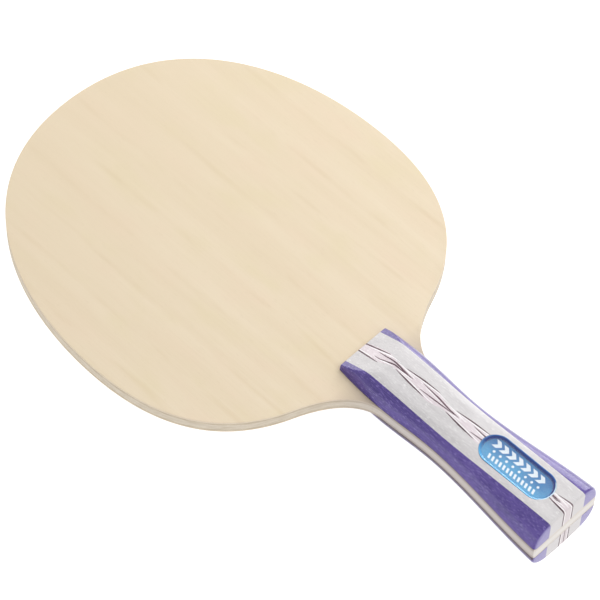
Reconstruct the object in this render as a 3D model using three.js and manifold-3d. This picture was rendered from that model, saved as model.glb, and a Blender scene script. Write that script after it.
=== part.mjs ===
// A bare table tennis paddle: a five-ply wooden blade whose tongue is glued between two laminated handle scales.
// Millimetres. +X runs across the paddle, +Y from the handle to the tip of the head, +Z out of the front face.
// The origin is the middle of the paddle's box, on the blade's middle plane.
// Inside the model, y = 0 is the shoulder line, where the handle scales start, and the handle runs to negative y.

import * as THREE from 'three';
import { mergeVertices } from 'three/addons/utils/BufferGeometryUtils.js';
import Module from 'manifold-3d';

const wasm = await Module();
wasm.setup();

// ---- Driving dimensions ----

const HEAD_LENGTH = 157; // shoulder line to the tip of the head
const HEAD_WIDTH = 150;
const HANDLE_LENGTH = 100;

// The blade's five plies, from the front face to the rear face, and the height of each of the six planes between them
const PLY_NAMES = ['front_face_veneer', 'front_inner_ply', 'core_ply', 'rear_inner_ply', 'rear_face_veneer'];
const PLY_PLANES = [3, 2.4, 1.5, -1.5, -2.4, -3];
const BLADE_FACE = PLY_PLANES[0];

// Head outline: how far each Bezier handle reaches from its end point
const WIDEST_AT = 64; // y of the widest point of the head
const TIP_PULL = 51; // sideways, from the tip
const UPPER_FLANK_PULL = 49; // upwards, from the widest point
const LOWER_FLANK_PULL = 33.6; // downwards, from the widest point
const SHOULDER_PULL = [62.4, 9.1]; // the point that aims the lower flank at the shoulder
const SHOULDER = [36, -0.8]; // where the convex flank turns into the concave neck
const NECK_PULL = [14.7, -8.8]; // the point that rounds the neck into the handle's side
const NECK_END = -24; // y where the neck has met the side of the handle
const NECK_END_PULL = 4.4;

// The handle at four stations: its half-width and the half-width's slope along y, the height of its crest
// above the blade's middle plane, and the power of its superellipse cross-section, which squares its corners
const HANDLE_STATIONS = [
  { y: 0, half: 11.9, slope: -0.13, crest: 11.4, power: 3.1 }, // head end of the scales
  { y: -20, half: 13.2, slope: 0, crest: 11.4, power: 3.1 }, // swell behind the ramp
  { y: -46, half: 12.1, slope: 0, crest: 11.2, power: 3 }, // waist
  { y: -HANDLE_LENGTH, half: 16.3, slope: -0.037, crest: 12.5, power: 3.3 }, // flared tail
];
const RAMP_START_HEIGHT = 5.6; // height of the scale's blunt head end above the blade's middle plane
const RAMP_LENGTH = 14; // the flat ramp climbs from that end to the full crown
const TAIL_ROUNDING = 1.3; // radius round the edges and corners of the tail end

// Width plan of one scale: violet sides, pale grey planks, and a twisted band inlaid along the middle
const PLANK_EDGE = 8.9; // half-width of the grey planks with the inlay between them
const TWIST_WAIST = 1.3; // half-width of the inlaid band where its strands cross
const TWIST_BULGE = 2.9; // half-width where the strands are furthest apart
const TWIST_FIRST_CROSSING = -17;
const TWIST_PITCH = 24.5; // from one crossing to the next
const TWIST_OPENING_SHARE = 0.7; // the band widens over this share of a pitch and closes over the rest
const TWIST_LINE_WIDTH = 0.5; // dark veneer along each side of the band

// Badge: a shallow round-ended tray set into the front scale, with a printed plate and a clear lens in it
const BADGE_Y = -75.7;
const BADGE_LENGTH = 33;
const BADGE_WIDTH = 12.6;
const BADGE_HEIGHT = 1.9;
const BADGE_SINK = 0.1; // the badge's rim lies this far below the handle's crest
const TRAY_FLOOR = 0.6;
const TRAY_RIM = 0.4;
const TRAY_WALL_RUN = 1.1; // how far the tray's bevelled wall leans in from rim to floor
const PLATE_THICKNESS = 0.3;
const LENS_THICKNESS = 0.4;
const CLEARANCE = 0.25; // gap round the badge in its pocket, and round the plate and lens in the tray

const COLOURS = {
  faceVeneer: 0xeedcbe,
  innerPly: 0xb7a68e,
  corePly: 0xd9cbb2,
  violetWood: 0x5f4f9f,
  greyWood: 0xdad9d8,
  paleInlay: 0xeae0e2,
  darkVeneer: 0x5d4a4d,
  badgeTray: 0x1b6fc0,
  badgePlate: 0x4aa3dc,
  badgeLens: 0xbfe2f5,
};

// ---- Small helpers ----

const paddle = new THREE.Group();
paddle.position.y = (HANDLE_LENGTH - HEAD_LENGTH) / 2;

function addPiece(name, geometry, colour, roughness = 0.6, metalness = 0) {
  const material = new THREE.MeshStandardMaterial({ color: colour, roughness, metalness, flatShading: true });
  const mesh = new THREE.Mesh(geometry, material);
  mesh.name = name;
  paddle.add(mesh);
}

// A geometry as a manifold-3d solid, ready for cutting.
function solidOf(geometry) {
  const bare = geometry.clone();
  bare.deleteAttribute('normal');
  bare.deleteAttribute('uv');
  const merged = mergeVertices(bare);
  const vertProperties = new Float32Array(merged.attributes.position.array);
  const triVerts = new Uint32Array(merged.index.array);
  return new wasm.Manifold(new wasm.Mesh({ numProp: 3, vertProperties, triVerts }));
}

function geometryOf(solid) {
  const mesh = solid.getMesh();
  const geometry = new THREE.BufferGeometry();
  geometry.setAttribute('position', new THREE.BufferAttribute(mesh.vertProperties, 3));
  geometry.setIndex(new THREE.BufferAttribute(mesh.triVerts, 1));
  return geometry;
}

const cut = (body, tool) => geometryOf(solidOf(body).subtract(solidOf(tool)));

// A closed solid skinned through rings of points, one ring per station, with flat fans closing its convex ends.
function loft(rings) {
  const count = rings[0].length;
  const last = (rings.length - 1) * count;
  const index = [];
  for (let start = 0; start < last; start += count) {
    for (let i = 0; i < count; i++) {
      const j = (i + 1) % count;
      index.push(start + i, start + j, start + count + j);
      index.push(start + i, start + count + j, start + count + i);
    }
  }
  for (let i = 1; i + 1 < count; i++) {
    index.push(0, i + 1, i);
    index.push(last, last + i, last + i + 1);
  }
  const geometry = new THREE.BufferGeometry();
  geometry.setAttribute('position', new THREE.Float32BufferAttribute(rings.flat(2), 3));
  geometry.setIndex(index);
  if (solidOf(geometry).volume() < 0) {
    geometry.setIndex(index.reverse());
  }
  return geometry;
}

// A flat plate with the given outline between two exact heights.
function slab(outline, low, high) {
  const geometry = new THREE.ExtrudeGeometry(new THREE.Shape(outline), { depth: 1, bevelEnabled: false });
  const position = geometry.attributes.position;
  for (let i = 0; i < position.count; i++) {
    position.setZ(i, position.getZ(i) > 0.5 ? high : low);
  }
  return geometry;
}

const evenly = (from, to, steps) => Array.from({ length: steps + 1 }, (_, i) => from + ((to - from) * i) / steps);

// ---- Shape of the handle ----

// Stations along y that follow the rounded tail edge, by equal steps of angle.
const TAIL_STATIONS = evenly(0, Math.PI / 2, 3).map(
  (angle) => -HANDLE_LENGTH + TAIL_ROUNDING * (1 - Math.sin(angle)),
);

// How far the rounded tail edge has drawn in from the full section at y.
function tailInset(y) {
  const intoRounding = TAIL_ROUNDING - (y + HANDLE_LENGTH);
  return intoRounding > 0 ? TAIL_ROUNDING - Math.sqrt(TAIL_ROUNDING ** 2 - intoRounding ** 2) : 0;
}

// The superellipse section at y: its crest height, its power, its half-width where the scales meet the blade's
// faces, and the half-width at mid-plane that gives it. All follow smooth curves through HANDLE_STATIONS.
function section(y) {
  const next = HANDLE_STATIONS.findIndex((station, i) => i > 0 && y >= station.y);
  const [a, b] = [HANDLE_STATIONS[next - 1], HANDLE_STATIONS[next]];
  const span = b.y - a.y;
  const t = (y - a.y) / span;
  const ease = t * t * (3 - 2 * t);
  const slopes = a.slope * t * (1 - t) ** 2 - b.slope * t * t * (1 - t);
  const half = a.half + (b.half - a.half) * ease + span * slopes - tailInset(y);
  const crest = a.crest + (b.crest - a.crest) * ease - tailInset(y);
  const power = a.power + (b.power - a.power) * ease;
  const reach = (1 - (BLADE_FACE / crest) ** power) ** (1 / power);
  return { half, crest, power, width: half / reach };
}

const rampHeight = (y) => RAMP_START_HEIGHT - ((HANDLE_STATIONS[0].crest - RAMP_START_HEIGHT) * y) / RAMP_LENGTH;

// Height of the scale's outer surface over the point x, y.
function crown(x, y) {
  const { crest, power, width } = section(y);
  const z = crest * (1 - (Math.abs(x) / width) ** power) ** (1 / power);
  return Math.min(z, rampHeight(y));
}

// Points of the outer surface from the seam at the blade's face up to PLANK_EDGE, by equal steps of the curve.
function sideProfile(y, steps) {
  const { crest, power, width } = section(y);
  const atSeam = Math.asin((BLADE_FACE / crest) ** (power / 2));
  const atPlank = Math.acos((PLANK_EDGE / width) ** (power / 2));
  return evenly(atSeam, atPlank, steps).map((angle, i) => {
    const x = i === steps ? PLANK_EDGE : width * Math.cos(angle) ** (2 / power);
    const z = i === 0 ? BLADE_FACE : crest * Math.sin(angle) ** (2 / power);
    return [x, Math.min(z, rampHeight(y))];
  });
}

// ---- Blade ----

// The right half of the blade's outline, from the tip of the head to the tail of its tongue.
function halfOutline() {
  const point = (x, y) => new THREE.Vector2(x, y);
  const tip = point(0, HEAD_LENGTH);
  const widest = point(HEAD_WIDTH / 2, WIDEST_AT);
  const shoulder = point(...SHOULDER);
  const neckEnd = point(section(NECK_END).half, NECK_END);
  const upperFlank = new THREE.CubicBezierCurve(
    tip,
    point(TIP_PULL, HEAD_LENGTH),
    point(HEAD_WIDTH / 2, WIDEST_AT + UPPER_FLANK_PULL),
    widest,
  );
  const lowerFlank = new THREE.CubicBezierCurve(
    widest,
    point(HEAD_WIDTH / 2, WIDEST_AT - LOWER_FLANK_PULL),
    point(...SHOULDER_PULL),
    shoulder,
  );
  const neck = new THREE.CubicBezierCurve(
    shoulder,
    point(...NECK_PULL),
    point(neckEnd.x, NECK_END + NECK_END_PULL),
    neckEnd,
  );
  const side = [...evenly(NECK_END, TAIL_STATIONS[0], 12).slice(1), ...TAIL_STATIONS.slice(1)]
    .sort((a, b) => b - a)
    .map((y) => point(section(y).half, y));
  return [
    ...upperFlank.getPoints(20),
    ...lowerFlank.getPoints(16).slice(1),
    ...neck.getPoints(9).slice(1),
    ...side,
  ];
}

function addBlade() {
  const right = halfOutline();
  const left = right.slice(1).reverse().map((p) => new THREE.Vector2(-p.x, p.y));
  const outline = [...right, ...left];
  PLY_NAMES.forEach((name, i) => {
    const colour = [COLOURS.faceVeneer, COLOURS.innerPly, COLOURS.corePly][Math.min(i, PLY_NAMES.length - 1 - i)];
    addPiece(name, slab(outline, PLY_PLANES[i + 1], PLY_PLANES[i]), colour, 0.7);
  });
}

// ---- Handle scales ----

// Half-width of the inlaid band at y: it opens slowly after each crossing and closes quickly before the next.
function twistHalf(y) {
  const turns = (TWIST_FIRST_CROSSING - y) / TWIST_PITCH;
  const phase = turns - Math.floor(turns);
  const closing = (1 - phase) / (1 - TWIST_OPENING_SHARE);
  const opened = Math.min(phase / TWIST_OPENING_SHARE, closing);
  return TWIST_WAIST + (TWIST_BULGE - TWIST_WAIST) * opened;
}

// Stations along the handle: even steps, the ramp's top, every crossing and bulge of the band, and the rounded tail.
function inlayStations() {
  const ys = new Set([0, -RAMP_LENGTH / 2, -RAMP_LENGTH, ...TAIL_STATIONS]);
  for (let crossing = TWIST_FIRST_CROSSING; crossing > TAIL_STATIONS[0]; crossing -= TWIST_PITCH) {
    ys.add(crossing);
    ys.add(crossing - (TWIST_PITCH * TWIST_OPENING_SHARE) / 2);
    ys.add(crossing - TWIST_PITCH * TWIST_OPENING_SHARE);
  }
  return [...ys].filter((y) => y >= -HANDLE_LENGTH).sort((a, b) => b - a);
}

const SIDE_STATIONS = [
  ...evenly(0, -RAMP_LENGTH, 5),
  ...evenly(-RAMP_LENGTH, TAIL_STATIONS[0], 10).slice(1),
  ...TAIL_STATIONS.slice(1),
].sort((a, b) => b - a);

// A strip of a scale between the curves x = inner(y) and x = outer(y), from the blade's face up to the crown.
function strip(inner, outer, steps, facing) {
  const rings = inlayStations().map((y) => {
    const top = evenly(outer(y), inner(y), steps).map((x) => [x, y, facing * crown(x, y)]);
    return [[inner(y), y, facing * BLADE_FACE], [outer(y), y, facing * BLADE_FACE], ...top];
  });
  return loft(rings);
}

// The violet outer strip of a scale, from the plank's edge out to the rounded side.
function sideStrip(side, facing) {
  const rings = SIDE_STATIONS.map((y) => [
    [side * PLANK_EDGE, y, facing * BLADE_FACE],
    ...sideProfile(y, 7).map(([x, z]) => [side * x, y, facing * z]),
  ]);
  return loft(rings);
}


function addScale(prefix, facing, pocket) {
  const infillHalf = (y) => twistHalf(y) - TWIST_LINE_WIDTH;
  const pieces = [
    ['twist_infill', (y) => -infillHalf(y), infillHalf, 2, COLOURS.paleInlay],
    ['left_twist_veneer', (y) => -infillHalf(y), (y) => -twistHalf(y), 1, COLOURS.darkVeneer],
    ['right_twist_veneer', infillHalf, twistHalf, 1, COLOURS.darkVeneer],
    ['left_plank', (y) => -twistHalf(y), () => -PLANK_EDGE, 4, COLOURS.greyWood],
    ['right_plank', twistHalf, () => PLANK_EDGE, 4, COLOURS.greyWood],
  ];
  for (const [name, inner, outer, steps, colour] of pieces) {
    const whole = strip(inner, outer, steps, facing);
    addPiece(`${prefix}_${name}`, pocket ? cut(whole, pocket) : whole, colour, 0.55);
  }
  addPiece(`${prefix}_left_side`, sideStrip(-1, facing), COLOURS.violetWood, 0.5);
  addPiece(`${prefix}_right_side`, sideStrip(1, facing), COLOURS.violetWood, 0.5);
}

// ---- Badge ----

// The badge's own heights count up from its underside, which tilts with the handle's crest along the badge.
const BADGE_ENDS = [BADGE_Y + BADGE_LENGTH / 2, BADGE_Y - BADGE_LENGTH / 2];
const BADGE_TILT = (section(BADGE_ENDS[0]).crest - section(BADGE_ENDS[1]).crest) / BADGE_LENGTH;
const BADGE_BASE = (section(BADGE_ENDS[0]).crest + section(BADGE_ENDS[1]).crest) / 2 - BADGE_SINK - BADGE_HEIGHT;
const ABOVE_BADGE = BADGE_HEIGHT + 1; // where a tool that cuts from above starts

// A round-ended ring drawn in from the badge's outline, at a height above the badge's underside.
function badgeRing(inset, height, steps = 10) {
  const radius = BADGE_WIDTH / 2 - inset;
  const straight = (BADGE_LENGTH - BADGE_WIDTH) / 2;
  const end = (sign) =>
    evenly(0, Math.PI, steps).map((angle) => {
      const along = sign * (straight + radius * Math.sin(angle));
      return [sign * radius * Math.cos(angle), BADGE_Y + along, BADGE_BASE + height + BADGE_TILT * along];
    });
  return [...end(1), ...end(-1)];
}

const badgeSolid = (low, lowInset, high, highInset) => loft([badgeRing(lowInset, low), badgeRing(highInset, high)]);

const badgePocket = () => badgeSolid(0, -CLEARANCE, ABOVE_BADGE, -CLEARANCE);

// How far the tray's bevelled wall stands in from the badge's outline at a height.
const wallInset = (height) => TRAY_RIM + (TRAY_WALL_RUN * (BADGE_HEIGHT - height)) / (BADGE_HEIGHT - TRAY_FLOOR);

function addBadge() {
  const plateTop = TRAY_FLOOR + PLATE_THICKNESS;
  const lensTop = plateTop + LENS_THICKNESS;
  const blank = badgeSolid(0, 0, BADGE_HEIGHT, 0);
  const hollow = badgeSolid(TRAY_FLOOR, wallInset(TRAY_FLOOR), ABOVE_BADGE, wallInset(ABOVE_BADGE));
  addPiece('badge_tray', cut(blank, hollow), COLOURS.badgeTray, 0.25);
  const fitted = (low, high) => badgeSolid(low, wallInset(low) + CLEARANCE, high, wallInset(high) + CLEARANCE);
  addPiece('badge_plate', fitted(TRAY_FLOOR, plateTop), COLOURS.badgePlate, 0.3);
  addPiece('badge_lens', fitted(plateTop, lensTop), COLOURS.badgeLens, 0.1);
}

// ---- The paddle ----

addBlade();
addScale('front', 1, badgePocket());
addScale('rear', -1);
addBadge();

export default paddle;
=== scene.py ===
"""The looks of a bare table tennis paddle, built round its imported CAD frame.

Sizes are in millimetres on the paddle's own plan: x across, y from the shoulder line (where the handle scales
start) towards the tip of the head, z out of the front face. to_frame() turns them into the frame's metres.
"""

import math

import bmesh
import bpy
from mathutils import Matrix, Vector


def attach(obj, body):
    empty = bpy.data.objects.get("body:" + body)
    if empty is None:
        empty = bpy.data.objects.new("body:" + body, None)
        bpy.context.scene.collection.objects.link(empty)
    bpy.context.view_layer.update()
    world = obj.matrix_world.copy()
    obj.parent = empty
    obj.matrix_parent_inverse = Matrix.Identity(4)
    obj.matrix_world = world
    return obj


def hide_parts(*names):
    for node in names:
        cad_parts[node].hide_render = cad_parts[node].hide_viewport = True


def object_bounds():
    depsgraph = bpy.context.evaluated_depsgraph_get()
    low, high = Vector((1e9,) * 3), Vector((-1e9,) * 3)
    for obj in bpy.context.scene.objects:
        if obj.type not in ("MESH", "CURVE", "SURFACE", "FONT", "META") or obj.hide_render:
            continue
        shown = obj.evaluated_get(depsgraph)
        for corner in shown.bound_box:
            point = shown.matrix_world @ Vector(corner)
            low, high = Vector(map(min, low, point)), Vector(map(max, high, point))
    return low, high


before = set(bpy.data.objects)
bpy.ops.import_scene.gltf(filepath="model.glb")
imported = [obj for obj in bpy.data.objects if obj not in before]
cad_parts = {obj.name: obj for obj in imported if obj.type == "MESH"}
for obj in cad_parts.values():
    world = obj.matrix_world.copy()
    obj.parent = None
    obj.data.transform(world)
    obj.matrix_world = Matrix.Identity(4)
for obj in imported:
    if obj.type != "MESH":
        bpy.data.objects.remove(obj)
CAD_LOW, CAD_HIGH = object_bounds()

# ---- Sizes, as in the CAD model ----

MM = 0.001
HEAD_LENGTH = 157
HEAD_WIDTH = 150
HANDLE_LENGTH = 100
SHOULDER_Y = CAD_LOW.y / MM + HANDLE_LENGTH  # the shoulder line's y in the frame, in millimetres

PLY_PLANES = (3, 2.4, 1.5, -1.5, -2.4, -3)
PLY_NAMES = ("front_face_veneer", "front_inner_ply", "core_ply", "rear_inner_ply", "rear_face_veneer")
PLY_SLOTS = ("face_veneer", "inner_ply", "core_ply", "inner_ply", "face_veneer")
BLADE_FACE = PLY_PLANES[0]
FACE_ROUNDING = 0.25  # radius of the blade's edge at either face
FACE_ROUNDING_STEPS = 4

# Each half of the outline is three Bezier curves. A pull is a control point, or, as one number, how far the
# control point stands from the end of its curve.
WIDEST_AT = 64
TIP_PULL = 51
UPPER_FLANK_PULL = 49
LOWER_FLANK_PULL = 33.6
SHOULDER_PULL = (62.4, 9.1)
SHOULDER = (36, -0.8)
NECK_PULL = (14.7, -8.8)
NECK_END = -24
NECK_END_PULL = 4.4
OUTLINE_STEPS = (72, 56, 36)  # on the upper flank, the lower flank and the neck

# The handle at four stations: y, half-width, the half-width's slope along y, crest height, superellipse power
HANDLE_STATIONS = (
    (0, 11.9, -0.13, 11.4, 3.1),
    (-20, 13.2, 0, 11.4, 3.1),
    (-46, 12.1, 0, 11.2, 3.0),
    (-HANDLE_LENGTH, 16.3, -0.037, 12.5, 3.3),
)
RAMP_START_HEIGHT = 5.6
RAMP_TOP_HEIGHT = HANDLE_STATIONS[0][3]
RAMP_LENGTH = 14
RAMP_BLEND = 1.0  # how softly the ramp's crest runs into the crown
TAIL_ROUNDING = 1.3
HEAD_END_ROUNDING = 0.35
PLANK_EDGE = 8.9  # the seam between a grey plank and the violet side
LEVEL_AFTER = 18  # this far behind the head end the crown is level again, and stations stand further apart
HEAD_END_STEPS = 4
RAMP_STEPS = 36
MIDDLE_STEPS = 96
TAIL_STEPS = 8
STATION_GAP = 0.02  # the least distance between a clipped end and the next station
BAND_STEPS = 8  # facets across the inlaid band, across a plank and round a violet side
PLANK_STEPS = 12
SIDE_STEPS = 28

# The inlaid band along the middle of a scale: its half-widths, and the crossings where it is narrowest
TWIST_WAIST = 1.3
TWIST_BULGE = 2.9
TWIST_FIRST_CROSSING = -17
TWIST_PITCH = 24.5
TWIST_OPENING_SHARE = 0.7  # share of a pitch over which the band opens behind a crossing
TWIST_CROSSINGS = [TWIST_FIRST_CROSSING - TWIST_PITCH * i for i in range(4)]

# Strands of the twisted inlay: points (distance behind a crossing, x) and the strand's width at its thickest
LEFT_STRANDS = (
    (((0.5, -1.3), (8, -2.0), (15.5, -2.5)), 0.62),
    (((12.1, -1.15), (23, -0.4), (28.5, 0.0)), 0.5),
)
RIGHT_STRANDS = (
    (((3, 1.7), (11, 2.55), (18.8, 2.95)), 0.55),
    (((11.7, 1.5), (20, 1.0), (25, 0.35), (30.5, 0.1)), 0.62),
)
WHITE_STRANDS = (
    (((-1, 1.45), (4, 1.15), (9, 0.55)), 0.5),
    (((1, -0.75), (8, -0.35)), 0.4),
    (((1.5, -0.95), (9, -1.55), (15.5, -2.1), (20, -2.35)), 0.45),
    (((4, 1.3), (12, 2.1), (18, 2.5), (23.5, 1.95)), 0.45),
    (((13, 0.9), (21, 0.35)), 0.35),
)
# Strands that start at the head end of the scale: points (distance behind the head end, x) and width
LEFT_FIRST_STRANDS = (
    (((0, -2.3), (10.4, -3.2)), 0.55),
    (((7, -1.3), (10, -1.5), (13, -1.1), (16, -0.2), (24, 0.0)), 0.6),
)
RIGHT_FIRST_STRANDS = (
    (((0, 1.6), (11.7, 2.4)), 0.55),
    (((7, 0.95), (11.4, 0.7), (16, 0.75), (20, 0.35), (25, 0.05)), 0.6),
)
WHITE_FIRST_STRANDS = (
    (((1.5, 1.1), (10, 1.75), (17, 1.95)), 0.5),
    (((0, -1.8), (7, -2.3)), 0.4),
    (((8.5, -2.1), (16, -1.15)), 0.5),
)
# One more fine strand near the tail on the front (1) and rear (-1) scales, counted from the head end as well
TAIL_STRANDS = {1: (((92.9, -0.46), (96.2, -0.24)), 0.4), -1: (((92, -0.5), (104, 0.6)), 0.42)}
STRAND_PROUD = 0.02  # a hair's breadth, so that an inlaid strand shows over the band it lies in
STRAND_TAPER = 0.45  # share of a strand's length over which each end tapers
STRAND_POINT = 0.015  # half-width that a strand tapers to
STRAND_STEPS = 12
LEAST_STRAND = 1  # a strand that would start nearer to the tail's end than this is left out

BADGE_Y = -75.7
BADGE_LENGTH = 33
BADGE_WIDTH = 12.6
BADGE_HEIGHT = 1.9
BADGE_SINK = 0.1  # how far the badge's rim lies below the scale's crest
BADGE_GAP = 0.03  # round the plate and the lens, and over the print
BADGE_BEVEL = 0.08  # on the upper edges of the plate and the lens
BADGE_END_STEPS = 24  # facets round each of its ends
POCKET_GAP = 0.02
POCKET_REACH = 2  # how far the solid that cuts the pocket stands above the badge
TRAY_FLOOR = 0.6
TRAY_RIM = 0.4
TRAY_WALL_RUN = 1.1
TRAY_ROUNDING = 0.12
TRAY_LIP = 0.08  # the small bevel between the rim and the wall
TRAY_LIP_INSET = 0.05
TRAY_FILLET = 0.15
TRAY_HIGHLIGHT_LENGTH = 3  # the stretch at the badge's tail end where a highlight is painted on its rim
PLATE_TOP = TRAY_FLOOR + 0.3
PLATE_FOOT = 0.2  # how far the plate's lower edge stands in from the wall's foot
LENS_TOP = PLATE_TOP + 0.4
LENS_DOME = 0.08  # how far the lens swells above its edge
LENS_DOME_RUN = 1.2

# Printed ornament on the badge's plate: x across the badge, the rest along it
ORNAMENT_HEIGHT = 0.04
ORNAMENT_SINK = 0.02  # how far the print reaches into the plate
CHEVRON_COUNT = 7
CHEVRON_PITCH = 3.45
CHEVRON_REACH = 1.6
CHEVRON_STROKE = 2.0
CHEVRON_X = 2.45
CHEVRON_HALF_HEIGHT = 1.6
DOT_COUNT = 8
DOT_PITCH = 3.0
DOT_X = -0.6
DOT_RADIUS = 0.52
DOT_SIDES = 16
BAR_COUNT = 13
BAR_PITCH = 1.75
BAR_LENGTH = 0.95
BAR_X = -3.1
BAR_HALF = 0.95
BAR_LEAN = 0.3

# ---- Camera: degrees and millimetres ----

CAMERA_AZIMUTH = -46.88
CAMERA_ELEVATION = 56.35
CAMERA_ROLL = 2.36
CAMERA_DISTANCE = 1198.2
CAMERA_TARGET = (0.57, 32.46, 0)
LENS_MM = 196.3
SENSOR_MM = 36
CAMERA_CLIP = (50, 20000)  # nothing nearer or farther shows

# ---- Light: directions lead from the paddle to a light, distances and sizes are metres, powers watts ----

WORLD_STRENGTH = 0.67
FLOOR_GLOW = 0.92
PAPER_SHADES = (0.34, 0.37)  # share of the light that the floor throws back
FLOOR_HALF = 3.0
FLOOR_GAP = 0.0002
KEY_DIRECTION = (0.5, -0.5, 1.2)  # from the handle's right, high
KEY_DISTANCE = 6.0
KEY_SIZE = 4.5
KEY_POWER = 136
RIM_DIRECTION = (0.92, 0.38, 0.2)  # low on the right, to graze the right side of the handle
RIM_DISTANCE = 3.0
RIM_SIZE = 2.0
RIM_POWER = 47
BACK_DIRECTION = (0.4, 0.85, 0.35)  # beyond the head, to lift the ramp
BACK_DISTANCE = 6.0
BACK_SIZE = 2.6
BACK_POWER = 50

# ---- Colours: screen values from 0 to 255 ----

# The bare face veneer, from its body to the marks in it, and then the places where it differs; the tip and
# handle tones are painted shade
VENEER_BODY = ((228, 211, 183), (232, 216, 190))
VENEER_WARM_PATCH = (232, 211, 186)
VENEER_COOL_PATCH = (226, 212, 176)
VENEER_GROWTH_LINE = (202, 176, 132)
VENEER_FIBRE = (208, 186, 152)
VENEER_PORE = (188, 164, 130)
VENEER_TIP_SHADE = (219, 202, 173)
VENEER_SAWN = (221, 210, 200)
VENEER_HANDLE_SHADE = (138, 126, 126)
VENEER_TAIL = (214, 207, 201)
# Plies: light and dark streaks, sanded end, and the painted shade where they run between the scales
INNER_PLY = ((212, 199, 177), (188, 172, 148), (220, 215, 211), (176, 167, 167))
CORE_PLY = ((221, 210, 193), (202, 189, 169), (228, 224, 221), (201, 194, 192))
# Dyed woods: light, middle and dark fibres, flecks, and end grain
VIOLET_WOOD = ((108, 89, 167), (90, 72, 150), (66, 50, 124), (130, 115, 184), (150, 142, 190))
GREY_WOOD = ((224, 221, 221), (214, 211, 212), (202, 199, 200), (231, 229, 229), (213, 209, 209))
PALE_WOOD = ((234, 226, 229), (224, 214, 218), (212, 200, 205), (246, 240, 242), (214, 205, 207))
DARK_WOOD = ((124, 102, 110), (104, 83, 91), (82, 63, 70), (138, 118, 126), (132, 115, 121))
WHITE_WOOD = ((252, 250, 250), (249, 247, 247), (243, 239, 241), (254, 253, 253), (250, 246, 246))
# The dark joint where a scale meets the blade; on the rear scale it also serves as painted shade
GLUE_LINE_AND_SHADE = (84, 68, 70)
# Printed and moulded plastics: a painted lit tone and a painted shaded tone, lit towards -x
PLATE_BLUE = ((84, 170, 216), (22, 106, 174))
PRINT_WHITE = ((252, 253, 255), (240, 245, 250))
# The badge's tray, in painted shade, painted light and a painted highlight, and its lens
TRAY_SHADE = ((6, 40, 116), (12, 60, 144))
TRAY_LIT_WALL = (84, 172, 226)
TRAY_RIM_SHADE_TO_LIGHT = ((34, 104, 178), (104, 186, 232))
TRAY_RIM_HIGHLIGHT = (206, 234, 248)
LENS_HAZE = ((176, 214, 240), (214, 236, 250))

SMOOTH_ANGLE = 35  # faces that meet at less than this many degrees are shaded as one smooth surface
VARNISH_BLOOM = 0.6  # how strongly the varnished wood pales where it is seen at a low angle


# ---- Small helpers ----


def to_frame(x, y, z):
    """A plan point in millimetres as a point of the frame in metres."""
    return (x * MM, (y + SHOULDER_Y) * MM, z * MM)


def evenly(start, end, steps):
    """Numbers from start to end, in equal steps."""
    return [start + (end - start) * i / steps for i in range(steps + 1)]


def between(stations, low, high):
    """The stations between two clipped ends, clear of both."""
    return [y for y in stations if low + STATION_GAP < y < high - STATION_GAP]


def soft_min(a, b, blend):
    """The smaller of a and b, with a rounded change from one to the other."""
    h = min(max(0.5 + 0.5 * (b - a) / blend, 0.0), 1.0)
    return b + (a - b) * h - blend * h * (1 - h)


def srgb(red, green, blue):
    """A colour given as screen values from 0 to 255, as linear light for a shader."""
    linear = []
    for value in (red, green, blue):
        v = value / 255
        linear.append(v / 12.92 if v <= 0.04045 else ((v + 0.055) / 1.055) ** 2.4)
    return (*linear, 1.0)


def make_object(name, points, faces, material):
    """A mesh object from plan points in millimetres, its faces turned outwards."""
    mesh = bpy.data.meshes.new(name)
    mesh.from_pydata([to_frame(*p) for p in points], [], faces)
    tidy = bmesh.new()
    tidy.from_mesh(mesh)
    bmesh.ops.recalc_face_normals(tidy, faces=tidy.faces)
    tidy.to_mesh(mesh)
    tidy.free()
    mesh.shade_smooth()
    mesh.set_sharp_from_angle(angle=math.radians(SMOOTH_ANGLE))
    mesh.materials.append(material)
    piece = bpy.data.objects.new(name, mesh)
    bpy.context.scene.collection.objects.link(piece)
    return piece


def loft_faces(count, rings, first=0):
    """Faces that skin equal rings of points into a closed solid, numbered from first."""
    faces = []
    for ring in range(rings - 1):
        for i in range(count):
            a = first + ring * count + i
            b = first + ring * count + (i + 1) % count
            faces.append((a, b, b + count, a + count))
    faces.append(tuple(first + i for i in reversed(range(count))))
    faces.append(tuple(first + (rings - 1) * count + i for i in range(count)))
    return faces


def loft(name, rings, material):
    """A closed solid skinned over equal rings of points."""
    return lofts(name, [rings], material)


def lofts(name, solids, material):
    """Several separate lofted solids as one object."""
    points, faces = [], []
    for rings in solids:
        faces += loft_faces(len(rings[0]), len(rings), len(points))
        points += [p for ring in rings for p in ring]
    return make_object(name, points, faces, material)


def stand_for(piece, node):
    """The piece is the finished look of a CAD node."""
    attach(piece, "root")
    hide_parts(node)


# ---- Materials ----


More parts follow.
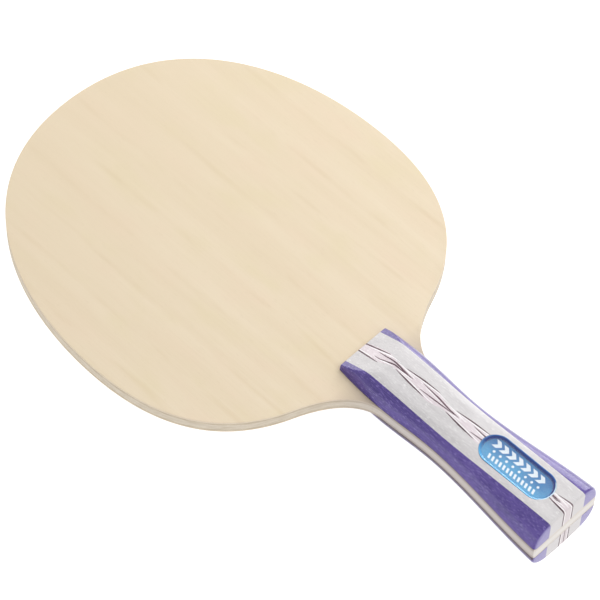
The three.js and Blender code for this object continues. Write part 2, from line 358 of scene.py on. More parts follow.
class Paint:
    """One Principled material, with small functions for the procedural nodes that colour it."""

    def __init__(self, name, roughness, **inputs):
        self.material = bpy.data.materials.new(name)
        self.material.use_nodes = True
        tree = self.material.node_tree
        self.nodes, self.links = tree.nodes, tree.links
        self.shader = self.nodes["Principled BSDF"]
        self.shader.inputs["Roughness"].default_value = roughness
        for key, value in inputs.items():
            self.shader.inputs[key.replace("_", " ")].default_value = value
        self.place = self.nodes.new("ShaderNodeTexCoord").outputs["Object"]

    def stretched(self, size, offset):
        """Object coordinates counted in steps of size, in millimetres along x, y and z."""
        mapping = self.nodes.new("ShaderNodeMapping")
        self.links.new(self.place, mapping.inputs["Vector"])
        mapping.inputs["Scale"].default_value = [1 / (s * MM) for s in size]
        mapping.inputs["Location"].default_value = offset
        return mapping.outputs["Vector"]

    def noise(self, size, detail=2.0, roughness=0.5, distortion=0.0, offset=(0, 0, 0)):
        node = self.nodes.new("ShaderNodeTexNoise")
        self.links.new(self.stretched(size, offset), node.inputs["Vector"])
        node.inputs["Scale"].default_value = 1.0
        node.inputs["Detail"].default_value = detail
        node.inputs["Roughness"].default_value = roughness
        node.inputs["Distortion"].default_value = distortion
        return node.outputs["Fac"]

    def math(self, operation, a, b=0):
        node = self.nodes.new("ShaderNodeMath")
        node.operation = operation
        for socket, value in zip(node.inputs, (a, b)):
            if isinstance(value, (int, float)):
                socket.default_value = value
            else:
                self.links.new(value, socket)
        return node.outputs["Value"]

    def ramp(self, value, *stops):
        """Remaps a value through (position, level) stops."""
        node = self.nodes.new("ShaderNodeValToRGB")
        self.links.new(value, node.inputs["Fac"])
        elements = node.color_ramp.elements
        while len(elements) < len(stops):
            elements.new(0.5)
        for element, (position, level) in zip(elements, stops):
            element.position = position
            element.color = (level, level, level, 1)
        return node.outputs["Color"]

    def mix(self, amount, a, b):
        """Colour a where the amount is nought, b where it is one; each is a socket or a screen colour."""
        node = self.nodes.new("ShaderNodeMix")
        node.data_type = "RGBA"
        self.links.new(amount, node.inputs[0])
        for socket, colour in ((node.inputs[6], a), (node.inputs[7], b)):
            if isinstance(colour, tuple):
                socket.default_value = srgb(*colour)
            else:
                self.links.new(colour, socket)
        return node.outputs[2]

    def lines(self, pitch, width, wobble, offset):
        """Thin lines that run along y, about pitch millimetres apart, wavering sideways by wobble."""
        noise_gain = 4  # the noise strays about a quarter at most from its middle
        waver = self.noise((30, 90, 30), offset=(offset, 2, 1))
        across = self.math("ADD", self.math("MULTIPLY", self.axis("X"), 1 / (pitch * MM)), offset)
        across = self.math("ADD", across, self.math("MULTIPLY", waver, wobble / pitch * noise_gain))
        from_line = self.math("PINGPONG", across, 0.5)
        return self.ramp(from_line, (0, 1), (width / pitch / 2, 0.6), (width / pitch, 0))

    def axis(self, name):
        """One of the object coordinates x, y and z, in metres."""
        place = self.nodes.new("ShaderNodeSeparateXYZ")
        self.links.new(self.place, place.inputs["Vector"])
        return place.outputs[name]

    def normal(self, name):
        """How far a face looks along x, y or z, from minus one to one."""
        normal = self.nodes.new("ShaderNodeSeparateXYZ")
        self.links.new(self.nodes.new("ShaderNodeTexCoord").outputs["Normal"], normal.inputs["Vector"])
        return normal.outputs[name]

    def past(self, y, length):
        """How far a point lies beyond y towards the tail, in steps of length; both are plan millimetres."""
        start = to_frame(0, y, 0)[1]
        return self.math("DIVIDE", self.math("SUBTRACT", start, self.axis("Y")), length * MM)

    def facing_end(self):
        """One on faces that look along y, nought on faces that look across it."""
        return self.ramp(self.math("ABSOLUTE", self.normal("Y")), (0.6, 0), (0.85, 1))

    def near_tail(self):
        """One on the tail's end face, nought on the rest of the blade."""
        tail_face = 0.5
        return self.math("LESS_THAN", self.axis("Y"), to_frame(0, -HANDLE_LENGTH + tail_face, 0)[1])

    def on_handle(self):
        """One on the blade's edge between the scales, where shade is painted, fading in past the shoulder;
        nought on the tail end.
        """
        handle_shade = self.ramp(self.past(0, length=30), (0.2, 0), (0.9, 1))
        return self.math("SUBTRACT", handle_shade, self.near_tail())

    def glue_line_and_shade(self):
        """One where a handle scale meets the blade, fading out beyond it: a dark joint, widened on the rear
        scale into a broader band of painted shade.
        """
        beyond = self.math("SUBTRACT", self.math("ABSOLUTE", self.axis("Z")), BLADE_FACE * MM)
        broad_run = 3
        front = self.ramp(self.math("DIVIDE", beyond, MM), (0.1, 1), (0.35, 0))
        # On the rear scale the line is broadened into painted shade
        broad_shade = self.ramp(self.math("DIVIDE", beyond, broad_run * MM), (0.4, 1), (0.8, 0))
        rear = self.math("MULTIPLY", self.math("LESS_THAN", self.axis("Z"), 0), broad_shade)
        side = self.math("SUBTRACT", 1, self.facing_end())
        return self.math("MULTIPLY", side, self.math("MAXIMUM", front, rear))

    def colour(self, socket):
        self.links.new(socket, self.shader.inputs["Base Color"])

    def rough(self, socket):
        self.links.new(socket, self.shader.inputs["Roughness"])

    def bump(self, height, depth):
        """Relief from a height value, depth millimetres high."""
        node = self.nodes.new("ShaderNodeBump")
        node.inputs["Distance"].default_value = depth * MM
        self.links.new(height, node.inputs["Height"])
        self.links.new(node.outputs["Normal"], self.shader.inputs["Normal"])


def face_veneer_material():
    """Pale bare veneer: broken growth lines along y, fibres, pores and soft patches; greyer where sawn, with
    painted shade towards the tip and along the handle.
    """
    paint = Paint("face_veneer", 0.6, Specular_IOR_Level=0.3)
    bands = paint.noise((9, 160, 200), roughness=0.5, distortion=0.2)
    warm = paint.noise((16, 34, 60), roughness=0.55, offset=(3, 1, 0))
    fibres = paint.noise((0.45, 20, 8), detail=3.0, roughness=0.65)
    pores = paint.noise((0.26, 3.4, 3), detail=1.0, offset=(7, 3, 1))
    gaps = paint.noise((7, 26, 60), roughness=0.6, offset=(1, 8, 2))
    base = paint.mix(paint.ramp(bands, (0.34, 0), (0.64, 1)), *VENEER_BODY)
    base = paint.mix(paint.ramp(warm, (0.5, 0), (0.7, 0.55)), base, VENEER_WARM_PATCH)
    base = paint.mix(paint.ramp(warm, (0.3, 0.5), (0.46, 0)), base, VENEER_COOL_PATCH)
    unbroken = paint.ramp(gaps, (0.42, 0), (0.66, 0.21))
    growth = paint.math("MULTIPLY", paint.lines(pitch=14.2, width=1.5, wobble=1.2, offset=0.6), unbroken)
    base = paint.mix(growth, base, VENEER_GROWTH_LINE)
    base = paint.mix(paint.ramp(fibres, (0.3, 0.1), (0.6, 0)), base, VENEER_FIBRE)
    base = paint.mix(paint.ramp(pores, (0.24, 0.2), (0.33, 0)), base, VENEER_PORE)
    # Painted shade: the face turns a little darker towards the tip
    from_shoulder = paint.math("SUBTRACT", paint.axis("Y"), SHOULDER_Y * MM)
    up_the_head = paint.math("DIVIDE", from_shoulder, HEAD_LENGTH * MM)
    base = paint.mix(paint.ramp(up_the_head, (0.05, 0), (0.95, 0.5)), base, VENEER_TIP_SHADE)
    sawn = paint.ramp(paint.math("ABSOLUTE", paint.normal("Z")), (0.3, 0.4), (0.7, 0))
    base = paint.mix(sawn, base, VENEER_SAWN)
    # Painted shade on the edge between the scales, under their bulge
    base = paint.mix(paint.math("MULTIPLY", paint.on_handle(), 0.8), base, VENEER_HANDLE_SHADE)
    base = paint.mix(paint.math("MULTIPLY", paint.near_tail(), 0.7), base, VENEER_TAIL)
    paint.colour(base)
    paint.bump(fibres, 0.03)
    return paint.material


def ply_material(name, colours, grain, offset):
    """A ply's sawn edge: streaks and specks of end grain, in painted shade between the scales and sanded
    paler on the tail.
    """
    light, dark, end, handle_shade = colours
    paint = Paint(name, 0.75, Specular_IOR_Level=0.25)
    streaks = paint.noise((5, 5, 0.6), detail=3.0, roughness=0.6, offset=offset)
    specks = paint.noise(grain, roughness=0.6, offset=offset)
    base = paint.mix(paint.ramp(streaks, (0.35, 0), (0.65, 1)), dark, light)
    base = paint.mix(paint.ramp(specks, (0.32, 0.35), (0.5, 0)), base, dark)
    # Painted shade on the edge between the scales, under their bulge
    base = paint.mix(paint.math("MULTIPLY", paint.on_handle(), 0.8), base, handle_shade)
    base = paint.mix(paint.math("MULTIPLY", paint.near_tail(), 0.85), base, end)
    paint.colour(base)
    paint.bump(specks, 0.05)
    return paint.material


def dyed_wood_material(name, colours, varnished=False):
    """Dyed and sanded wood: long fibres along y, flecks where the dye took less, and its own end grain."""
    light, mid, dark, fleck, end = colours
    paint = Paint(name, 0.5, Specular_IOR_Level=0.15, Coat_Roughness=0.12, Sheen_Roughness=0.3)
    clouds = paint.noise((4, 26, 4))
    fibres = paint.noise((0.35, 7, 0.35), detail=4.0, roughness=0.65)
    flecks = paint.noise((0.4, 1.8, 0.4), detail=1.5, offset=(5, 2, 8))
    shades = paint.noise((0.5, 2.4, 0.5), offset=(9, 6, 3))
    base = paint.mix(paint.ramp(clouds, (0.35, 0), (0.65, 1)), dark, mid)
    base = paint.mix(paint.ramp(fibres, (0.42, 0), (0.68, 0.55)), base, light)
    base = paint.mix(paint.ramp(shades, (0.3, 0.7), (0.46, 0)), base, dark)
    base = paint.mix(paint.ramp(flecks, (0.57, 0), (0.7, 0.75)), base, fleck)
    grain = paint.noise((0.35, 0.35, 0.35), roughness=0.6)
    end_grain = paint.mix(paint.ramp(grain, (0.35, 0.4), (0.6, 0)), end, mid)
    base = paint.mix(paint.facing_end(), base, end_grain)
    if varnished:
        base = varnished_colour(paint, base)
    paint.colour(base)
    paint.bump(fibres, 0.02)
    return paint.material


def varnished_colour(paint, base):
    """Adds a varnish, worn thin where the sides are steep, and darkens the glued seam along the blade, with
    painted shade below it on the rear scale.
    """
    glue_and_shade = paint.glue_line_and_shade()
    upward = paint.ramp(paint.math("ABSOLUTE", paint.normal("Z")), (0.14, 0.1), (0.48, 1))
    paint.links.new(paint.math("SUBTRACT", upward, glue_and_shade), paint.shader.inputs["Coat Weight"])
    paint.shader.inputs["Sheen Weight"].default_value = VARNISH_BLOOM
    # The dark joint, widened on the rear scale into painted shade
    return paint.mix(paint.math("MULTIPLY", glue_and_shade, 0.85), base, GLUE_LINE_AND_SHADE)


def plastic_material(name, colours, roughness):
    """Moulded plastic with a faint cloud in its tint, painted lighter towards -x and darker towards +x as
    light and shade, and fine wear in its gloss.
    """
    light, dark = colours
    paint = Paint(name, roughness, Coat_Weight=0.8, Coat_Roughness=0.06)
    clouds = paint.noise((5, 9, 5))
    # Painted light and shade: lighter towards -x, darker towards +x
    across = paint.math("MULTIPLY", paint.axis("X"), -1 / (BADGE_WIDTH * MM))
    tint = paint.ramp(paint.math("ADD", across, clouds), (0.1, 0), (0.9, 1))
    paint.colour(paint.mix(tint, dark, light))
    scuffs = paint.noise((0.6, 0.6, 0.6), detail=3.0, roughness=0.7)
    paint.rough(paint.ramp(scuffs, (0.4, roughness), (0.75, roughness + 0.15)))
    return paint.material


def tray_material():
    """Clear blue plastic: painted shade in its walls, painted light in the wall that faces +x and along its
    rim.

    The rim is painted lighter towards -x, as light, and carries a painted highlight at its tail end.
    """
    paint = Paint("badge_tray", 0.25, Coat_Weight=0.8, Coat_Roughness=0.06)
    clouds = paint.noise((5, 9, 5))
    shaded = paint.mix(clouds, *TRAY_SHADE)
    turn = paint.math("ADD", paint.math("MULTIPLY", paint.normal("X"), 0.5), 0.5)
    # The wall that faces +x is painted lit; the other walls keep their painted shade
    base = paint.mix(paint.ramp(turn, (0.45, 0), (0.8, 1)), shaded, TRAY_LIT_WALL)
    across = paint.math("DIVIDE", paint.axis("X"), -BADGE_WIDTH * MM)
    # The rim is painted lighter towards -x, and pale with a painted highlight at its tail end
    rim = paint.mix(paint.ramp(across, (0, 0), (0.4, 1)), *TRAY_RIM_SHADE_TO_LIGHT)
    tail_end = paint.past(BADGE_Y - BADGE_LENGTH / 2 + TRAY_HIGHLIGHT_LENGTH, length=1)
    rim = paint.mix(paint.ramp(tail_end, (0, 0), (0.9, 1)), rim, TRAY_RIM_HIGHLIGHT)
    base = paint.mix(paint.ramp(paint.normal("Z"), (0.8, 0), (0.97, 1)), base, rim)
    paint.colour(base)
    return paint.material


def lens_material():
    """A clear resin window: nearly invisible, with a faint cool haze."""
    gloss = {"Specular_IOR_Level": 0.8, "Coat_Weight": 1.0, "Coat_Roughness": 0.04}
    paint = Paint("badge_lens", 0.05, Alpha=0.07, **gloss)
    haze = paint.ramp(paint.noise((4, 4, 4)), (0.3, 0), (0.7, 1))
    paint.colour(paint.mix(haze, *LENS_HAZE))
    return paint.material


def floor_material():
    """White paper lit from below as well as above, as on a light table, so that shadows nearly vanish."""
    paint = Paint("studio_floor", 0.9, Specular_IOR_Level=0.1, Emission_Strength=FLOOR_GLOW)
    paint.shader.inputs["Emission Color"].default_value = (1, 1, 1, 1)
    darker, lighter = PAPER_SHADES
    paint.colour(paint.ramp(paint.noise((3, 3, 3)), (0, darker), (1, lighter)))
    return paint.material


# ---- Shape of the handle ----


def end_inset(y):
    """How far the rounded ends draw the section in at y."""
    inset = 0.0
    for depth, radius in ((max(y + HANDLE_LENGTH, 0), TAIL_ROUNDING), (-y, HEAD_END_ROUNDING)):
        into = radius - depth
        if into > 0:
            inset += radius - math.sqrt(max(radius**2 - into**2, 0))
    return inset


def section(y):
    """The superellipse at y: half-width at the blade's face, crest, power and half-width at mid-plane."""
    for start, end in zip(HANDLE_STATIONS, HANDLE_STATIONS[1:]):
        if y >= end[0]:
            break
    # The crest and power ease from one station to the next. The half-width follows the stations' slopes too.
    span = end[0] - start[0]
    t = min((y - start[0]) / span, 1.0)
    ease = t * t * (3 - 2 * t)
    half, crest, power = (start[k] + (end[k] - start[k]) * ease for k in (1, 3, 4))
    half += span * (start[2] * t * (1 - t) ** 2 - end[2] * t * t * (1 - t)) - end_inset(y)
    crest -= end_inset(y)
    reach = (1 - (BLADE_FACE / crest) ** power) ** (1 / power)
    return half, crest, power, half / reach


def half_width(y):
    return section(y)[0]


def ramp_height(y):
    """Height of the sloped ramp that cuts the crown at the head end."""
    rise = (RAMP_TOP_HEIGHT - RAMP_START_HEIGHT) / RAMP_LENGTH
    return RAMP_START_HEIGHT - rise * y - (end_inset(y) if y > -RAMP_LENGTH else 0)


def crown(x, y):
    """Height of the scale's outer surface over the point x, y."""
    _, crest, power, width = section(y)
    full = crest * max(1 - (abs(x) / width) ** power, 0) ** (1 / power)
    return soft_min(full, ramp_height(y), RAMP_BLEND)


def side_profile(y):
    """Points of the rounded side, from the seam at the blade's face up to the plank's edge."""
    _, crest, power, width = section(y)
    at_seam = math.asin((BLADE_FACE / crest) ** (power / 2))
    at_plank = math.acos((PLANK_EDGE / width) ** (power / 2))
    points = []
    for angle in evenly(at_seam, at_plank, SIDE_STEPS):
        x = width * math.cos(angle) ** (2 / power)
        full = crest * math.sin(angle) ** (2 / power)
        points.append((x, max(soft_min(full, ramp_height(y), RAMP_BLEND), BLADE_FACE)))
    points[0] = (points[0][0], BLADE_FACE)
    points[-1] = (PLANK_EDGE, crown(PLANK_EDGE, y))
    return points


def handle_stations(first=0.0):
    """Stations from first to the handle's tail, close together on the rounded ends and along the ramp."""
    quarter = math.pi / 2
    head_end = [-HEAD_END_ROUNDING * (1 - math.cos(a)) for a in evenly(0, quarter, HEAD_END_STEPS)]
    tail = [TAIL_ROUNDING * (1 - math.sin(a)) - HANDLE_LENGTH for a in evenly(0, quarter, TAIL_STEPS)]
    ramp = evenly(head_end[-1], -LEVEL_AFTER, RAMP_STEPS)[1:]
    middle = evenly(ramp[-1], tail[0], MIDDLE_STEPS)[1:]
    every = head_end + ramp + middle + tail[1:]
    return [first, *between(every, -HANDLE_LENGTH, first), -HANDLE_LENGTH]


# ---- Blade ----


def bezier(p0, p1, p2, p3, steps):
    """Points on the cubic curve from p0 to p3, drawn towards p1 and p2."""
    points = []
    for t in evenly(0, 1, steps):
        s = 1 - t
        weights = (s**3, 3 * s * s * t, 3 * s * t * t, t**3)
        points.append(tuple(sum(w * p[k] for w, p in zip(weights, (p0, p1, p2, p3))) for k in (0, 1)))
    return points


def half_outline():
    """The right half of the blade's outline, from the tip to the tail of the tongue."""
    half = HEAD_WIDTH / 2
    tip = (0, HEAD_LENGTH)
    widest = (half, WIDEST_AT)
    neck_end = (half_width(NECK_END), NECK_END)
    upper_steps, lower_steps, neck_steps = OUTLINE_STEPS
    upper = bezier(tip, (TIP_PULL, HEAD_LENGTH), (half, WIDEST_AT + UPPER_FLANK_PULL), widest, upper_steps)
    lower = bezier(widest, (half, WIDEST_AT - LOWER_FLANK_PULL), SHOULDER_PULL, SHOULDER, lower_steps)
    neck = bezier(SHOULDER, NECK_PULL, (neck_end[0], NECK_END + NECK_END_PULL), neck_end, neck_steps)
    side = [(half_width(y), y) for y in handle_stations(NECK_END)]
    return upper + lower[1:] + neck[1:] + side[1:]


def inset_outline(outline, distance):
    """The outline drawn in by a distance along its normals."""
    moved = []
    count = len(outline)
    for i, (x, y) in enumerate(outline):
        (ax, ay), (bx, by) = outline[i - 1], outline[(i + 1) % count]
        length = math.hypot(bx - ax, by - ay)
        moved.append((x - (ay - by) / length * distance, y - (bx - ax) / length * distance))
    return moved


def rounded_rings(outline, face, into):
    """Rings round a face's edge, from the face to the side; into is 1 where the blade lies above the face."""
    rings = []
    for angle in evenly(0, math.pi / 2, FACE_ROUNDING_STEPS):
        inset = FACE_ROUNDING * (1 - math.sin(angle))
        height = face + into * FACE_ROUNDING * (1 - math.cos(angle))
        rings.append([(x, y, height) for x, y in inset_outline(outline, inset)])
    return rings


def make_blade(materials):
    """Five plies cut as one outline, the two face veneers with a rounded outer edge."""
    right = half_outline()
    left = [(-x, y) for x, y in reversed(right[1:])]
    outline = right + left
    for name, slot, top, bottom in zip(PLY_NAMES, PLY_SLOTS, PLY_PLANES, PLY_PLANES[1:]):
        upper = [[(x, y, top) for x, y in outline]]
        lower = [[(x, y, bottom) for x, y in outline]]
        if top == PLY_PLANES[0]:
            upper = rounded_rings(outline, top, -1)
        if bottom == PLY_PLANES[-1]:
            lower = rounded_rings(outline, bottom, 1)[::-1]
        stand_for(loft(f"{name}_fine", upper + lower, materials[slot]), name)


# ---- Handle scales ----


def twist_half(y):
    """Half-width of the inlaid band: it opens slowly after each crossing and closes fast before the next."""
    turns = (TWIST_FIRST_CROSSING - y) / TWIST_PITCH
    phase = turns - math.floor(turns)
    opened = min(phase / TWIST_OPENING_SHARE, (1 - phase) / (1 - TWIST_OPENING_SHARE))
    opened = opened * opened * (3 - 2 * opened)
    return TWIST_WAIST + (TWIST_BULGE - TWIST_WAIST) * opened


def strip_rings(inner, outer, steps, facing, stations, proud=0.0):
    """A through-thickness strip of a scale between the curves x = inner(y) and x = outer(y)."""
    rings = []
    for y in stations:
        near, far = inner(y), outer(y)
        top = [(x, y, facing * (crown(x, y) + proud)) for x in evenly(far, near, steps)]
        rings.append([(near, y, facing * BLADE_FACE), (far, y, facing * BLADE_FACE), *top])
    return rings


def side_rings(side, facing):
    """The violet strip along one side of a scale."""
    rings = []
    for y in handle_stations():
        profile = [(side * x, y, facing * z) for x, z in side_profile(y)]
        rings.append([(side * PLANK_EDGE, y, facing * BLADE_FACE), *profile])
    return rings


def strand_middle(points, y):
    """The x of a strand's middle line at y, on the straight stretches between its (y, x) points."""
    for (y0, x0), (y1, x1) in zip(points, points[1:]):
        if y >= y1:
            break
    return x0 + (x1 - x0) * (y - y0) / (y1 - y0)


def strand_half(points, width, y):
    """A strand's half-width at y: it tapers towards its ends, but not where it starts at the scale's end."""
    first, last = points[0][0], points[-1][0]
    t = (y - first) / (last - first)
    start = 1.0 if first >= 0 else min(1.0, t / STRAND_TAPER)
    end = min(1.0, (1 - t) / STRAND_TAPER)
    return max(width / 2 * math.sqrt(max(start * end, 0)), STRAND_POINT)


def strand_rings(points, width, facing):
    """A slim inlaid strand along (y, x) points, clipped at the handle's ends."""
    top = min(points[0][0], 0.0)
    bottom = max(points[-1][0], -HANDLE_LENGTH - STRAND_PROUD)
    shared = between(handle_stations(), bottom, top)
    stations = sorted({top, bottom, *shared, *evenly(top, bottom, STRAND_STEPS)}, reverse=True)

    def edge(side):
        return lambda y: strand_middle(points, y) + side * strand_half(points, width, y)

    return strip_rings(edge(-1), edge(1), 1, facing, stations, STRAND_PROUD)


def strand_solids(first_strands, strands, facing):
    """The strands that start at the head end, and a copy of the repeating ones behind each crossing."""
    placed = [(0.0, strand) for strand in first_strands]
    placed += [(crossing, strand) for crossing in TWIST_CROSSINGS for strand in strands]
    solids = []
    for start, (points, width) in placed:
        if start - points[0][0] > -HANDLE_LENGTH + LEAST_STRAND:
            solids.append(strand_rings([(start - back, x) for back, x in points], width, facing))
    return solids


def strands_piece(name, solids, material, pocket):
    """Strands as one object, each with the badge's pocket cut out of it where there is one."""
    pieces = []
    for rings in solids:
        strand = loft("strand", rings, material)
        if pocket:
            cut_pocket(strand, pocket)
        pieces.append(strand)
    return joined(name, pieces)


def make_twist_strands(prefix, facing, materials, pocket=None):
    """The two dark twist veneers of a scale, and the fine white strands beside them."""
    plans = (
        ("left_twist_veneer", (*LEFT_FIRST_STRANDS, TAIL_STRANDS[facing]), LEFT_STRANDS),
        ("right_twist_veneer", RIGHT_FIRST_STRANDS, RIGHT_STRANDS),
    )
    for name, first_strands, strands in plans:
        solids = strand_solids(first_strands, strands, facing)
        piece = strands_piece(f"{prefix}_{name}_fine", solids, materials["dark_veneer"], pocket)
        stand_for(piece, f"{prefix}_{name}")
    solids = strand_solids(WHITE_FIRST_STRANDS, WHITE_STRANDS, facing)
    white = strands_piece(f"{prefix}_white_strands_fine", solids, materials["white_veneer"], pocket)
    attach(white, "root")


def cut_pocket(piece, pocket):
    """Cuts the badge's pocket out of a piece for good."""
    cutting = piece.modifiers.new("pocket", "BOOLEAN")
    cutting.operation = "DIFFERENCE"
    cutting.solver = "EXACT"
    cutting.object = pocket
    graph = bpy.context.evaluated_depsgraph_get()
    cut = bpy.data.meshes.new_from_object(piece.evaluated_get(graph))
    piece.modifiers.clear()
    piece.data = cut
    cut.set_sharp_from_angle(angle=math.radians(SMOOTH_ANGLE))


def joined(name, pieces):
    """One object made of several separate solids' meshes."""
    whole = bmesh.new()
    for piece in pieces:
        whole.from_mesh(piece.data)
    mesh = bpy.data.meshes.new(name)
    whole.to_mesh(mesh)
    whole.free()
    mesh.materials.append(pieces[0].data.materials[0])
    for piece in pieces:
        bpy.data.objects.remove(piece, do_unlink=True)
    result = bpy.data.objects.new(name, mesh)
    bpy.context.scene.collection.objects.link(result)
    return result


def make_scale(prefix, facing, materials, pocket=None):
    """A scale's band, planks and sides. A plan holds a strip's two curves, its steps across and its slot."""
    stations = handle_stations()
    plans = (
        ("twist_infill", lambda y: -twist_half(y), twist_half, BAND_STEPS, "pale_inlay"),
        ("left_plank", lambda y: -twist_half(y), lambda y: -PLANK_EDGE, PLANK_STEPS, "grey_wood"),
        ("right_plank", twist_half, lambda y: PLANK_EDGE, PLANK_STEPS, "grey_wood"),
    )
    for name, inner, outer, steps, slot in plans:
        rings = strip_rings(inner, outer, steps, facing, stations)
        piece = loft(f"{prefix}_{name}_fine", rings, materials[slot])
        if pocket:
            cut_pocket(piece, pocket)
        stand_for(piece, f"{prefix}_{name}")
    for side, name in ((-1, "left_side"), (1, "right_side")):
        piece = loft(f"{prefix}_{name}_fine", side_rings(side, facing), materials["violet_wood"])
        stand_for(piece, f"{prefix}_{name}")


# ---- Badge ----

# The badge's own heights count up from its underside, which tilts with the handle's crest along the badge.
BADGE_HEAD_CREST = section(BADGE_Y + BADGE_LENGTH / 2)[1]
BADGE_TAIL_CREST = section(BADGE_Y - BADGE_LENGTH / 2)[1]
BADGE_TILT = (BADGE_HEAD_CREST - BADGE_TAIL_CREST) / BADGE_LENGTH
BADGE_BASE = (BADGE_HEAD_CREST + BADGE_TAIL_CREST) / 2 - BADGE_SINK - BADGE_HEIGHT


def on_badge(x, along, height):
    """A plan point from a place on the badge: across, along from its middle, and up from its underside."""
    return (x, BADGE_Y + along, BADGE_BASE + height + BADGE_TILT * along)


def round_ended(inset, height):
    """A round-ended ring, drawn in by inset from the badge's outline, at a height on the badge."""
    radius = BADGE_WIDTH / 2 - inset
    straight = (BADGE_LENGTH - BADGE_WIDTH) / 2
    ring = []
    for sign in (1, -1):
        for angle in evenly(0, math.pi, BADGE_END_STEPS):
            along = sign * (straight + radius * math.sin(angle))
            ring.append(on_badge(sign * radius * math.cos(angle), along, height))
    return ring


def badge_solid(name, profile, material):
    """A solid from (inset, height) steps, from its lower end cap round to its upper one."""
    return loft(name, [round_ended(inset, height) for inset, height in profile], material)


def wall_inset(height):
    """How far the tray's bevelled wall stands in from its outline at a height."""
    return TRAY_RIM + TRAY_WALL_RUN * (BADGE_HEIGHT - height) / (BADGE_HEIGHT - TRAY_FLOOR)


def tray_profile():
    """Up the outside, over the rounded rim, down the bevelled wall and on to the floor."""
    middle = TRAY_ROUNDING * 0.3  # halfway round the rim's outer edge
    lip, fillet = BADGE_HEIGHT - TRAY_LIP, TRAY_FLOOR + TRAY_FILLET
    return [
        (0, 0),
        (0, BADGE_HEIGHT - TRAY_ROUNDING),
        (middle, BADGE_HEIGHT - middle),
        (TRAY_ROUNDING, BADGE_HEIGHT),
        (TRAY_RIM - TRAY_LIP_INSET, BADGE_HEIGHT),
        (wall_inset(lip), lip),
        (wall_inset(fillet), fillet),
        (wall_inset(TRAY_FLOOR) + TRAY_FILLET, TRAY_FLOOR),
    ]


def plate_profile():
    """The plate lies on the tray's floor, with a bevelled upper edge."""
    edge = wall_inset(PLATE_TOP) + BADGE_GAP
    return [
        (wall_inset(TRAY_FLOOR) + PLATE_FOOT, TRAY_FLOOR),
        (edge, PLATE_TOP - BADGE_BEVEL),
        (edge + BADGE_BEVEL, PLATE_TOP),
    ]


def lens_profile():
    """The lens lies over the print and swells a little towards its middle."""
    edge = wall_inset(LENS_TOP) + BADGE_GAP
    return [
        (wall_inset(PLATE_TOP) + BADGE_GAP, PLATE_TOP + ORNAMENT_HEIGHT + BADGE_GAP),
        (edge, LENS_TOP - BADGE_BEVEL),
        (edge + BADGE_BEVEL, LENS_TOP),
        (wall_inset(LENS_TOP) + LENS_DOME_RUN, LENS_TOP + LENS_DOME),
    ]


def make_badge_part(name, profile, materials):
    stand_for(badge_solid(f"{name}_fine", profile, materials[name]), name)


def make_badge(materials):
    """The badge from its tray up: plate, print and lens."""
    make_badge_part("badge_tray", tray_profile(), materials)
    make_badge_part("badge_plate", plate_profile(), materials)
    ornament = lofts("badge_ornament", chevrons() + dots() + bars(), materials["badge_print"])
    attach(ornament, "root")
    make_badge_part("badge_lens", lens_profile(), materials)


def printed(outline):
    """A thin printed shape on the badge's plate, as two rings, from (across, along) points."""
    low, high = PLATE_TOP - ORNAMENT_SINK, PLATE_TOP + ORNAMENT_HEIGHT
    return [[on_badge(x, along, height) for x, along in outline] for height in (low, high)]


def row(count, pitch):
    """Places along the badge, a pitch apart and centred on its middle."""
    return [(i - (count - 1) / 2) * pitch for i in range(count)]


def chevrons():
    """A row of bold chevrons, each of two arms."""
    solids = []
    for middle in row(CHEVRON_COUNT, CHEVRON_PITCH):
        tip, tail = middle - CHEVRON_REACH / 2, middle + CHEVRON_REACH / 2
        for side in (1, -1):
            outer = CHEVRON_X + side * CHEVRON_HALF_HEIGHT
            front = [(CHEVRON_X, tip), (outer, tail)]
            back = [(outer, tail + CHEVRON_STROKE), (CHEVRON_X, tip + CHEVRON_STROKE)]
            solids.append(printed(front + back))
    return solids


def dots():
    """A row of round dots."""
    solids = []
    turn = [2 * math.pi * k / DOT_SIDES for k in range(DOT_SIDES)]
    for middle in row(DOT_COUNT, DOT_PITCH):
        circle = [(DOT_X + DOT_RADIUS * math.cos(a), middle + DOT_RADIUS * math.sin(a)) for a in turn]
        solids.append(printed(circle))
    return solids


def bars():
    """A row of leaning bars."""
    solids = []
    low, high = BAR_X - BAR_HALF, BAR_X + BAR_HALF
    for middle in row(BAR_COUNT, BAR_PITCH):
        near = middle - BAR_LENGTH / 2
        far = near + BAR_LENGTH
        front = [(low, near - BAR_LEAN), (high, near + BAR_LEAN)]
        back = [(high, far + BAR_LEAN), (low, far - BAR_LEAN)]
        solids.append(printed(front + back))
    return solids


# ---- Studio ----


def add_camera():
    """A long lens to the paddle's left, beyond its tail and high above it."""
    azimuth, elevation = math.radians(CAMERA_AZIMUTH), math.radians(CAMERA_ELEVATION)
    back = Vector((
        math.sin(azimuth) * math.cos(elevation),
        -math.cos(azimuth) * math.cos(elevation),
        math.sin(elevation),
    ))
    right = (-back).cross(Vector((0, 0, 1))).normalized()
    up = back.cross(right)
    turn = math.radians(CAMERA_ROLL)
    rolled_right = right * math.cos(turn) + up * math.sin(turn)
    rolled_up = up * math.cos(turn) - right * math.sin(turn)
    rotation = Matrix((rolled_right, rolled_up, back)).transposed()
    data = bpy.data.cameras.new("camera")
    data.lens = LENS_MM
    data.sensor_width = SENSOR_MM
    data.clip_start, data.clip_end = (distance * MM for distance in CAMERA_CLIP)
    camera = bpy.data.objects.new("camera", data)
    place = Vector(to_frame(*CAMERA_TARGET)) + back * CAMERA_DISTANCE * MM
    camera.matrix_world = Matrix.Translation(place) @ rotation.to_4x4()
    bpy.context.scene.collection.objects.link(camera)
    bpy.context.scene.camera = camera


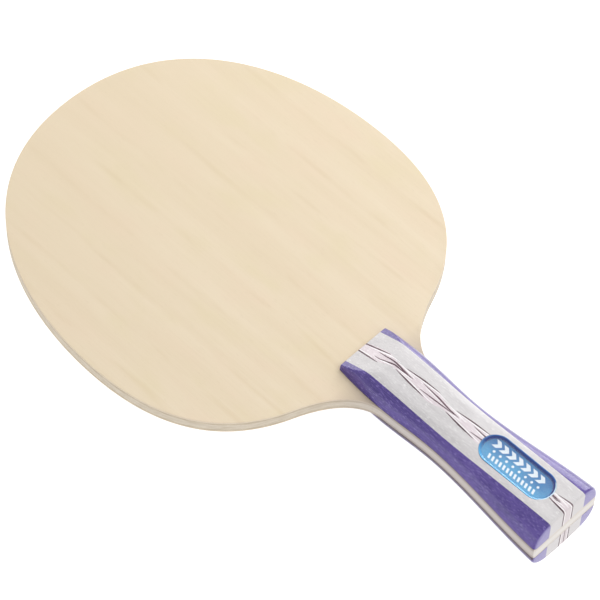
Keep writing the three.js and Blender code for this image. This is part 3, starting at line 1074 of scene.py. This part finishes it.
def add_floor():
    """A wide pale floor under the paddle: it touches the rear scale's crest and the rim of the head."""
    crest = Vector(to_frame(0, -RAMP_LENGTH, -RAMP_TOP_HEIGHT))
    rim = Vector(to_frame(0, HEAD_LENGTH, -BLADE_FACE))
    along = (rim - crest).normalized()
    across = Vector((1, 0, 0))
    middle = (crest + rim) / 2 - Vector((0, 0, FLOOR_GAP))
    signs = ((-1, -1), (1, -1), (1, 1), (-1, 1))
    corners = [middle + across * (sx * FLOOR_HALF) + along * (sy * FLOOR_HALF) for sx, sy in signs]
    mesh = bpy.data.meshes.new("floor")
    mesh.from_pydata([tuple(c) for c in corners], [], [(0, 1, 2, 3)])
    mesh.materials.append(floor_material())
    floor = bpy.data.objects.new("floor", mesh)
    bpy.context.scene.collection.objects.link(floor)


def add_area_light(name, direction, distance, size, power):
    """A square soft light that shines on the paddle from a direction."""
    data = bpy.data.lights.new(name, "AREA")
    data.shape = "SQUARE"
    data.size = size
    data.energy = power
    light = bpy.data.objects.new(name, data)
    aim = Vector(direction).normalized()
    light.location = aim * distance
    light.rotation_euler = aim.to_track_quat("Z", "Y").to_euler()
    bpy.context.scene.collection.objects.link(light)


def add_light():
    """A white world and three soft lamps."""
    world = bpy.data.worlds.new("studio")
    world.use_nodes = True
    background = world.node_tree.nodes["Background"]
    background.inputs["Color"].default_value = (1.0, 1.0, 1.0, 1)
    background.inputs["Strength"].default_value = WORLD_STRENGTH
    bpy.context.scene.world = world
    add_area_light("key", KEY_DIRECTION, KEY_DISTANCE, KEY_SIZE, KEY_POWER)
    add_area_light("rim", RIM_DIRECTION, RIM_DISTANCE, RIM_SIZE, RIM_POWER)
    add_area_light("back", BACK_DIRECTION, BACK_DISTANCE, BACK_SIZE, BACK_POWER)
    bpy.context.scene.view_settings.view_transform = "Standard"


# ---- The paddle ----


def make_materials():
    """Every material, by the name of the slot or layer that it is for."""
    return {
        "face_veneer": face_veneer_material(),
        "inner_ply": ply_material("inner_ply", INNER_PLY, grain=(0.5, 0.5, 0.2), offset=(2, 5, 1)),
        "core_ply": ply_material("core_ply", CORE_PLY, grain=(0.7, 0.7, 0.4), offset=(8, 1, 4)),
        "violet_wood": dyed_wood_material("violet_wood", VIOLET_WOOD, varnished=True),
        "grey_wood": dyed_wood_material("grey_wood", GREY_WOOD),
        "pale_inlay": dyed_wood_material("pale_inlay", PALE_WOOD),
        "dark_veneer": dyed_wood_material("dark_veneer", DARK_WOOD),
        "white_veneer": dyed_wood_material("white_veneer", WHITE_WOOD),
        "badge_tray": tray_material(),
        "badge_plate": plastic_material("badge_plate", PLATE_BLUE, 0.3),
        "badge_print": plastic_material("badge_print", PRINT_WHITE, 0.35),
        "badge_lens": lens_material(),
    }


def make_paddle(materials):
    make_blade(materials)
    pocket_profile = [(-POCKET_GAP, 0), (-POCKET_GAP, BADGE_HEIGHT + POCKET_REACH)]
    pocket = badge_solid("pocket", pocket_profile, materials["grey_wood"])
    make_scale("front", 1, materials, pocket)
    make_twist_strands("front", 1, materials, pocket)
    make_scale("rear", -1, materials)
    make_twist_strands("rear", -1, materials)
    bpy.data.objects.remove(pocket, do_unlink=True)
    make_badge(materials)


add_camera()
make_paddle(make_materials())
add_floor()
add_light()
